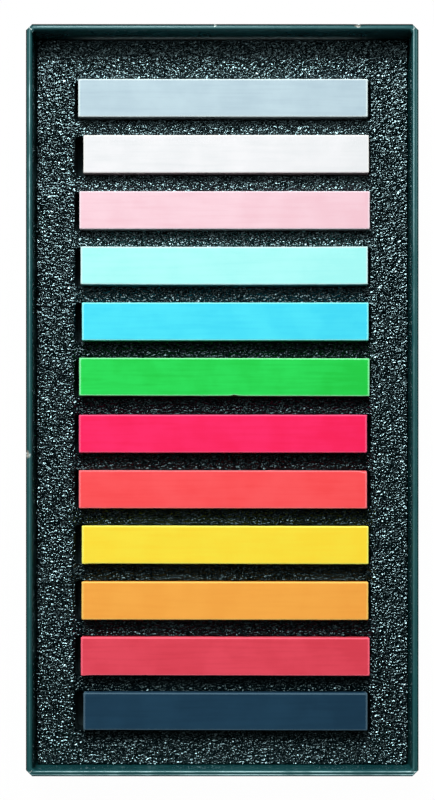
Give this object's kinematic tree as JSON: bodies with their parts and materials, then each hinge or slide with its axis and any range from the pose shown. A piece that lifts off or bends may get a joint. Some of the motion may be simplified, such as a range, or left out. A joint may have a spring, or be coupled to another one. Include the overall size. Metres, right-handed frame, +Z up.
{
  "type": "pastel box tray",
  "caption": "Shallow paper-covered board tray of a box, with a slotted foam insert that holds a row of square pastel sticks side by side, each lifting out of its slot.",
  "frame": {"origin": "middle of the tray's underside", "axes": "+Z up out of the open tray, +Y along its length towards the light grey-blue stick, +X along the sticks"},
  "size_m": [0.0874, 0.1676, 0.0156],
  "materials": {
    "greyboard": "matte",
    "stay_tape": "matte",
    "teal_paper": "satin",
    "black_foam": "matte",
    "pastel_grey": "matte",
    "pastel_white": "matte",
    "pastel_pink": "matte",
    "pastel_cyan": "matte",
    "pastel_blue": "matte",
    "pastel_green": "matte",
    "pastel_rose": "matte",
    "pastel_orange_red": "matte",
    "pastel_yellow": "matte",
    "pastel_orange": "matte",
    "pastel_coral": "matte",
    "pastel_navy": "matte"
  },
  "bodies": {
    "tray": {"tray_board": "greyboard", "corner_stay_far_left": "stay_tape", "corner_stay_far_right": "stay_tape", "corner_stay_near_left": "stay_tape", "corner_stay_near_right": "stay_tape", "cover_paper": "teal_paper"},
    "foam_insert": {"foam_base_layer": "black_foam", "foam_slotted_layer": "black_foam"},
    "pastel_grey": {"pastel_grey": "pastel_grey"},
    "pastel_white": {"pastel_white": "pastel_white"},
    "pastel_pink": {"pastel_pink": "pastel_pink"},
    "pastel_cyan": {"pastel_cyan": "pastel_cyan"},
    "pastel_blue": {"pastel_blue": "pastel_blue"},
    "pastel_green": {"pastel_green": "pastel_green"},
    "pastel_rose": {"pastel_rose": "pastel_rose"},
    "pastel_orange_red": {"pastel_orange_red": "pastel_orange_red"},
    "pastel_yellow": {"pastel_yellow": "pastel_yellow"},
    "pastel_orange": {"pastel_orange": "pastel_orange"},
    "pastel_coral": {"pastel_coral": "pastel_coral"},
    "pastel_navy": {"pastel_navy": "pastel_navy"}
  },
  "joints": [
    {"name": "foam_insert_lift", "type": "slide", "parent": "tray", "child": "foam_insert", "axis": [0, 0, 1], "range_m": [0, 0.02]},
    {"name": "pastel_grey_lift", "type": "slide", "parent": "foam_insert", "child": "pastel_grey", "axis": [0, 0, 1], "range_m": [0, 0.016]},
    {"name": "pastel_white_lift", "type": "slide", "parent": "foam_insert", "child": "pastel_white", "axis": [0, 0, 1], "range_m": [0, 0.016]},
    {"name": "pastel_pink_lift", "type": "slide", "parent": "foam_insert", "child": "pastel_pink", "axis": [0, 0, 1], "range_m": [0, 0.016]},
    {"name": "pastel_cyan_lift", "type": "slide", "parent": "foam_insert", "child": "pastel_cyan", "axis": [0, 0, 1], "range_m": [0, 0.016]},
    {"name": "pastel_blue_lift", "type": "slide", "parent": "foam_insert", "child": "pastel_blue", "axis": [0, 0, 1], "range_m": [0, 0.016]},
    {"name": "pastel_green_lift", "type": "slide", "parent": "foam_insert", "child": "pastel_green", "axis": [0, 0, 1], "range_m": [0, 0.016]},
    {"name": "pastel_rose_lift", "type": "slide", "parent": "foam_insert", "child": "pastel_rose", "axis": [0, 0, 1], "range_m": [0, 0.016]},
    {"name": "pastel_orange_red_lift", "type": "slide", "parent": "foam_insert", "child": "pastel_orange_red", "axis": [0, 0, 1], "range_m": [0, 0.016]},
    {"name": "pastel_yellow_lift", "type": "slide", "parent": "foam_insert", "child": "pastel_yellow", "axis": [0, 0, 1], "range_m": [0, 0.016]},
    {"name": "pastel_orange_lift", "type": "slide", "parent": "foam_insert", "child": "pastel_orange", "axis": [0, 0, 1], "range_m": [0, 0.016]},
    {"name": "pastel_coral_lift", "type": "slide", "parent": "foam_insert", "child": "pastel_coral", "axis": [0, 0, 1], "range_m": [0, 0.016]},
    {"name": "pastel_navy_lift", "type": "slide", "parent": "foam_insert", "child": "pastel_navy", "axis": [0, 0, 1], "range_m": [0, 0.016]}
  ]
}
